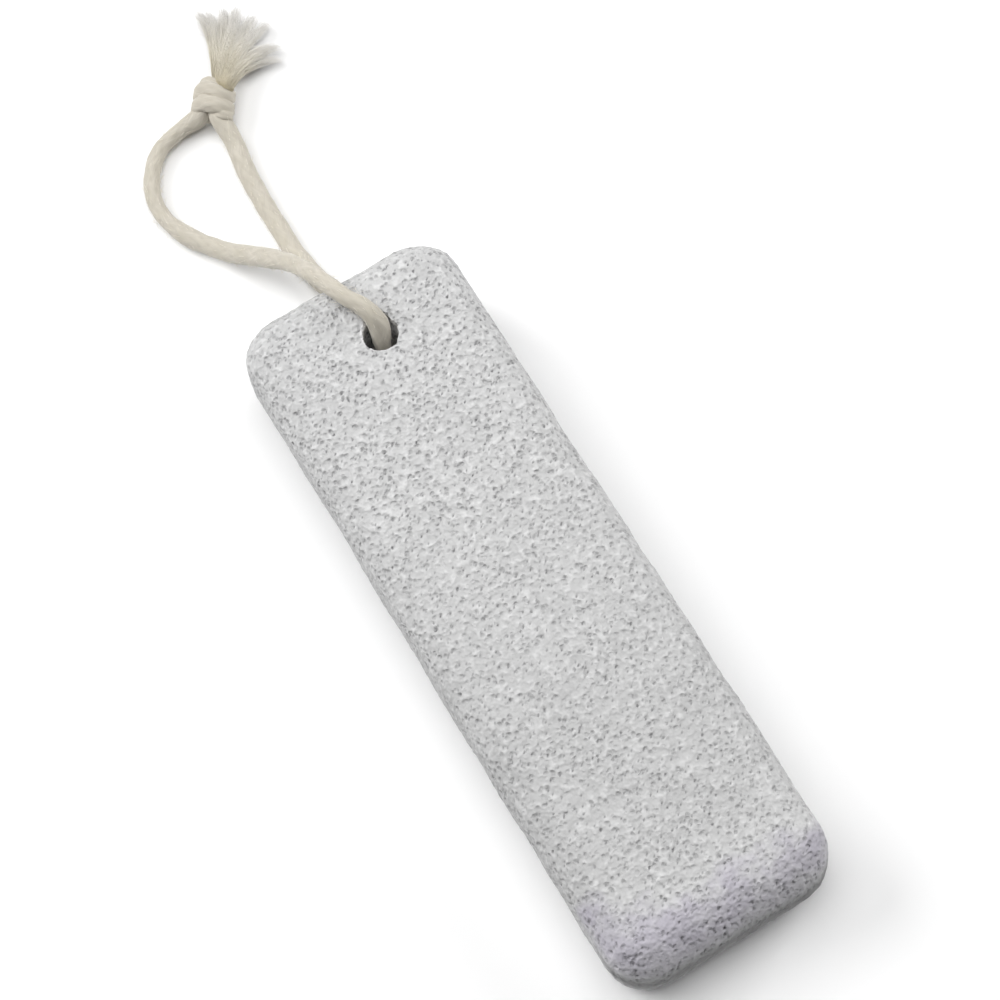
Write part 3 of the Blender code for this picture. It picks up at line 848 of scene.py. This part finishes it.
class PUMICE_OT_stage(bpy.types.Operator):
    """Add the floor, the lights and the camera"""

    bl_idname = "pumice.stage"
    bl_label = "Stage"

    def execute(self, context):
        stage = context.scene.stone_stage
        corners = FLOOR_HALF * np.array(((-1, -1, 0), (1, -1, 0), (1, 1, 0), (-1, 1, 0)))
        mesh = bpy.data.meshes.new("floor")
        mesh.from_pydata(corners.tolist(), [], [(0, 1, 2, 3)])
        mesh.materials.append(floor_finish(stage))
        floor = bpy.data.objects.new("floor", mesh)
        context.scene.collection.objects.link(floor)

        world = bpy.data.worlds.new("sky")
        world.use_nodes = True
        background = world.node_tree.nodes["Background"]
        background.inputs["Color"].default_value = (1.0, 1.0, 1.0, 1.0)
        background.inputs["Strength"].default_value = stage.sky
        context.scene.world = world
        for name, place, size in LIGHTS:
            add_light(name, place, size, getattr(stage, name))

        data = bpy.data.cameras.new("camera")
        data.lens = CAMERA_LENS
        data.sensor_width = SENSOR_WIDTH
        data.clip_start, data.clip_end = CAMERA_CLIP
        camera = bpy.data.objects.new("camera", data)
        back = Vector(CAMERA_RIGHT).cross(Vector(CAMERA_UP)).normalized()
        up = Vector(CAMERA_UP).normalized()
        turn = Matrix((up.cross(back), up, back)).transposed()
        camera.matrix_world = Matrix.Translation(CAMERA_PLACE) @ turn.to_4x4()
        context.scene.collection.objects.link(camera)
        context.scene.camera = camera
        context.scene.view_settings.view_transform = "Standard"
        return {"FINISHED"}


class PUMICE_OT_cord(bpy.types.Operator):
    """Add the braided cotton cord along its route"""

    bl_idname = "pumice.cord"
    bl_label = "Cord"

    def execute(self, context):
        cord = context.scene.cotton_cord
        route = cord_centres()
        across, lift = ring_frames(unit(np.gradient(route, axis=0)))
        chance = np.random.default_rng(11)
        swell = 1 + ripples(route, chance, *CORD_SWELL)
        near_hole = 1 - ramp(np.linalg.norm(route[:, :2] - HOLE_PLACE, axis=1), *HOLE_FADE)
        in_bore = 1 - ramp(np.abs(route[:, 2] - HOLE_MIDDLE), *BORE_FADE)
        squeeze = 1 + near_hole * (RIM_SWELL - (RIM_SWELL + HOLE_SQUEEZE) * in_bore)
        squeeze -= RISE_SLIMMING * (1 - near_hole) * ramp(route[:, 2], *RISE_START)
        squeeze -= BOW_SLIMMING * ramp(route[:, 1], *BOW_START) * ramp(-route[:, 0], *BOW_SIDE)
        width = cord.radius * (swell * squeeze)[:, None]
        points, faces, values = braided_tube(
            route, (width, width), across, lift, CORD_SIDES, cord.strands, cord.lay, cord.relief
        )
        points[:, 2] = np.maximum(points[:, 2], CORD_FLOOR)
        piece = add_piece("braided_cord", points, faces, cotton_finish(cord), values)
        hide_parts("hanging_cord")
        return {"FINISHED"}


class PUMICE_OT_knot(bpy.types.Operator):
    """Add the knot: bands of braided cord drawn tight round a core"""

    bl_idname = "pumice.knot"
    bl_label = "Knot"

    def execute(self, context):
        cord = context.scene.cotton_cord
        parts = [self.core()]
        angle = np.linspace(0, math.tau, BAND_RINGS, endpoint=False)
        braid_sizes = (BAND_SIDES, cord.strands, cord.lay * BAND_LAY, cord.relief * BAND_RELIEF)
        for middle, along, half_width, half_height, lean, radius in KNOT_BANDS:
            x, above = half_width * np.cos(angle), np.sin(angle)
            route = np.column_stack((middle + x, along + math.tan(lean) * x * above, half_height * above))
            outward = np.column_stack((np.cos(angle), np.zeros(BAND_RINGS), above))
            direction = unit(np.roll(route, -1, 0) - np.roll(route, 1, 0))
            outward = unit(outward - direction * (outward * direction).sum(axis=1, keepdims=True))
            sideways = np.cross(direction, outward)
            widths = (np.full((BAND_RINGS, 1), radius * BAND_FLATNESS), np.full((BAND_RINGS, 1), radius))
            parts.append(braided_tube(route, widths, outward, sideways, *braid_sizes, closed=True))
        points, faces, values = join_parts(parts)
        # painted shade over the whole drawn-tight knot
        values["valley"] += KNOT_SHADE
        points = turned(points, KNOT_TURN, KNOT_CENTRE)
        piece = add_piece("overhand_knot", points, faces, bpy.data.materials["cotton braid"], values)
        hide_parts("cord_knot")
        return {"FINISHED"}

    def core(self):
        """A sphere of rings from pole to pole, stretched to the core's half sizes."""
        turns = np.linspace(0, math.pi, CORE_RINGS + 2)[1:-1, None]
        angle = np.linspace(0, math.tau, CORE_SIDES, endpoint=False)
        along = np.broadcast_to(-np.cos(turns), (CORE_RINGS, CORE_SIDES))
        rings = np.stack((np.sin(turns) * np.sin(angle), along, np.sin(turns) * np.cos(angle)), axis=2)
        points = np.vstack((rings.reshape(-1, 3), (0, -1, 0), (0, 1, 0))) * KNOT_CORE
        labels = ("valley", "lay", "one_way", "other_way")
        values = {label: np.full(len(points), CORE_VALUE) for label in labels}
        return points, tube_faces(CORE_RINGS, CORE_SIDES, False), values


class PUMICE_OT_tuft(bpy.types.Operator):
    """Add the frayed end: locks of loose fibres that fan out from the knot"""

    bl_idname = "pumice.tuft"
    bl_label = "Frayed end"

    def execute(self, context):
        cord = context.scene.cotton_cord
        chance = np.random.default_rng(5)
        locks = np.repeat(np.array(TUFT_LOCKS) * MM, cord.fibres, axis=0)
        count = len(locks)
        angle = chance.uniform(0, math.tau, count)
        spread = np.sqrt(chance.random(count))
        flat = np.column_stack((np.cos(angle) * spread, np.zeros(count), np.sin(angle) * spread))
        longest, shortening, rarity = FIBRE_LENGTHS
        length = longest - shortening * chance.random(count) ** rarity
        tip = locks[:, :3] * length[:, None]
        neck_size = np.array((NECK_RADII[0], 0, NECK_RADII[1]))
        lock_size = np.column_stack((locks[:, 3], np.zeros(count), locks[:, 4]))
        at_root, in_middle, at_end = SPREADS
        root = np.array(TUFT_ROOT) + flat * neck_size * at_root
        neck = np.array(TUFT_NECK) + NECK_SHIFT * tip * (1, 0, 0) + flat * neck_size
        middle = 0.5 * np.array(TUFT_NECK) + locks[:, :3] * MIDDLE_SHARE + flat * lock_size * in_middle
        middle[:, 1] += MIDDLE_RISE * np.abs(locks[:, 0])
        end = tip + flat * lock_size * at_end + chance.normal(size=(count, 3)) * END_SCATTER
        t = np.linspace(0, 1, FIBRE_RINGS)[None, :, None]
        steps = self.curve(root, neck, middle, end, t)
        sway = np.sin(math.pi * t * WAVE_TURNS + angle[:, None, None])
        wave = chance.normal(size=(count, 1, 3)) * FIBRE_WAVE * sway
        centres = turned(steps + wave * t, TUFT_TURN, TUFT_START)
        centres[..., 2] = np.maximum(centres[..., 2], FIBRE_FLOOR + FLOOR_SPREAD * spread[:, None])
        thick = chance.uniform(*FIBRE_RADII, count)[:, None] * MM
        points, faces = fibre_tubes(centres, thick * (1 - FIBRE_TAPER * t[..., 0] ** 2))
        values = {
            "shade": np.repeat(chance.random(count), FIBRE_RINGS * FIBRE_SIDES),
            "along": np.tile(np.repeat(t.ravel(), FIBRE_SIDES), count),
        }
        piece = add_piece("frayed_fibres", points, faces, fibre_finish(cord, "loose cotton"), values)
        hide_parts("frayed_tuft")
        return {"FINISHED"}

    def curve(self, root, neck, middle, end, t):
        """A cubic curve from root to end that is drawn towards the neck and the middle between them."""
        root, neck, middle, end = (place[:, None] for place in (root, neck, middle, end))
        return root * (1 - t) ** 3 + neck * 3 * t * (1 - t) ** 2 + middle * 3 * t**2 * (1 - t) + end * t**3


class PUMICE_OT_fuzz(bpy.types.Operator):
    """Add sparse hairs that stand off the cord"""

    bl_idname = "pumice.fuzz"
    bl_label = "Loose hairs"

    def execute(self, context):
        cord = context.scene.cotton_cord
        chance = np.random.default_rng(23)
        route = smooth_route(in_metres(CORD_ROUTE), HAIR_STEP)
        along = unit(np.gradient(route, axis=0))
        across, lift = ring_frames(along)
        chosen = chance.integers(2, len(route) - 2, cord.hairs)
        angle = chance.uniform(0, math.tau, cord.hairs)[:, None]
        outward = np.cos(angle) * across[chosen] + np.sin(angle) * lift[chosen]
        lean = along[chosen] * chance.choice((-1, 1), cord.hairs)[:, None]
        length = chance.uniform(*HAIR_LENGTHS, cord.hairs)[:, None, None] * MM
        t = np.linspace(0, 1, HAIR_RINGS)[None, :, None]
        rise = 0.25 * chance.random(cord.hairs)[:, None, None] + 0.1
        start = route[chosen] + outward * cord.radius * HAIR_ROOT
        centres = start[:, None] + length * (lean[:, None] * t + outward[:, None] * (rise * t + 0.3 * t**2))
        centres[..., 2] = np.maximum(centres[..., 2], FIBRE_FLOOR)
        points, faces = fibre_tubes(centres, np.full((cord.hairs, HAIR_RINGS), HAIR_RADIUS))
        shade = np.repeat(chance.random(cord.hairs), HAIR_RINGS * FIBRE_SIDES)
        values = {"shade": shade, "along": np.full(len(points), HAIR_TONE)}
        piece = add_piece("cord_hairs", points, faces, fibre_finish(cord, "cotton hairs"), values)
        return {"FINISHED"}


class PUMICE_OT_stone(bpy.types.Operator):
    """Add the pumice bar with its hole and pores"""

    bl_idname = "pumice.stone"
    bl_label = "Stone"

    def execute(self, context):
        stone = context.scene.pumice_bar
        chance = np.random.default_rng(8)
        points, faces = stone_surface(stone)
        cosine, sine = math.cos(stone.tilt), math.sin(stone.tilt)
        tilt = np.array(((1, 0, 0), (0, cosine, -sine), (0, sine, cosine)))
        points = points @ tilt.T + (0, 0, STONE_RISE)
        route = smooth_route(in_metres(CORD_ROUTE[slice(*GROOVE_STRETCH)]), 0.2 * MM)
        rub_groove(points, route)
        normals = surface_normals(points, faces)
        jitter = chance.normal(size=points.shape) * JITTER
        points += jitter - normals * (jitter * normals).sum(axis=1, keepdims=True)
        swell = ripples(points, chance, *SWELL)
        lumps = ripples(points, chance, *LUMPS)
        points, depth = press_pores(points, normals, chance, stone.pores)
        points += normals * (np.minimum(swell, SWELL[0]) + lumps * (1 - depth))[:, None]
        points[:, 2] = np.maximum(points[:, 2], 0.0)
        piece = add_piece("pumice_bar", points, faces.tolist(), pumice_finish(stone), {"depth": depth})
        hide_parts("pumice_stone")
        return {"FINISHED"}


OPERATORS = (
    PUMICE_OT_stage,
    PUMICE_OT_cord,
    PUMICE_OT_knot,
    PUMICE_OT_tuft,
    PUMICE_OT_fuzz,
    PUMICE_OT_stone,
)


class VIEW3D_PT_pumice_stone(bpy.types.Panel):
    """Sizes, colours and pieces of the pumice stone"""

    bl_label = "Pumice stone"
    bl_space_type = "VIEW_3D"
    bl_region_type = "UI"
    bl_category = "Pumice stone"

    def draw(self, context):
        layout = self.layout
        for group in (context.scene.pumice_bar, context.scene.cotton_cord, context.scene.stone_stage):
            column = layout.column()
            for label in group.bl_rna.properties.keys():
                if label not in ("rna_type", "name"):
                    column.prop(group, label)
        for operator in OPERATORS:
            layout.operator(operator.bl_idname)


CLASSES = (StoneSettings, CordSettings, StageSettings, *OPERATORS, VIEW3D_PT_pumice_stone)


def register():
    for made in CLASSES:
        bpy.utils.register_class(made)
    bpy.types.Scene.pumice_bar = PointerProperty(type=StoneSettings)
    bpy.types.Scene.cotton_cord = PointerProperty(type=CordSettings)
    bpy.types.Scene.stone_stage = PointerProperty(type=StageSettings)


def unregister():
    del bpy.types.Scene.stone_stage
    del bpy.types.Scene.cotton_cord
    del bpy.types.Scene.pumice_bar
    for made in reversed(CLASSES):
        bpy.utils.unregister_class(made)


def declare_cord():
    """Work out the route of the cord's middle."""
    route = cord_centres()


def main():
    register()
    for operator in OPERATORS:
        name = operator.bl_idname.split(".")[1]
        getattr(bpy.ops.pumice, name)()
    declare_cord()


if __name__ == "__main__":
    main()
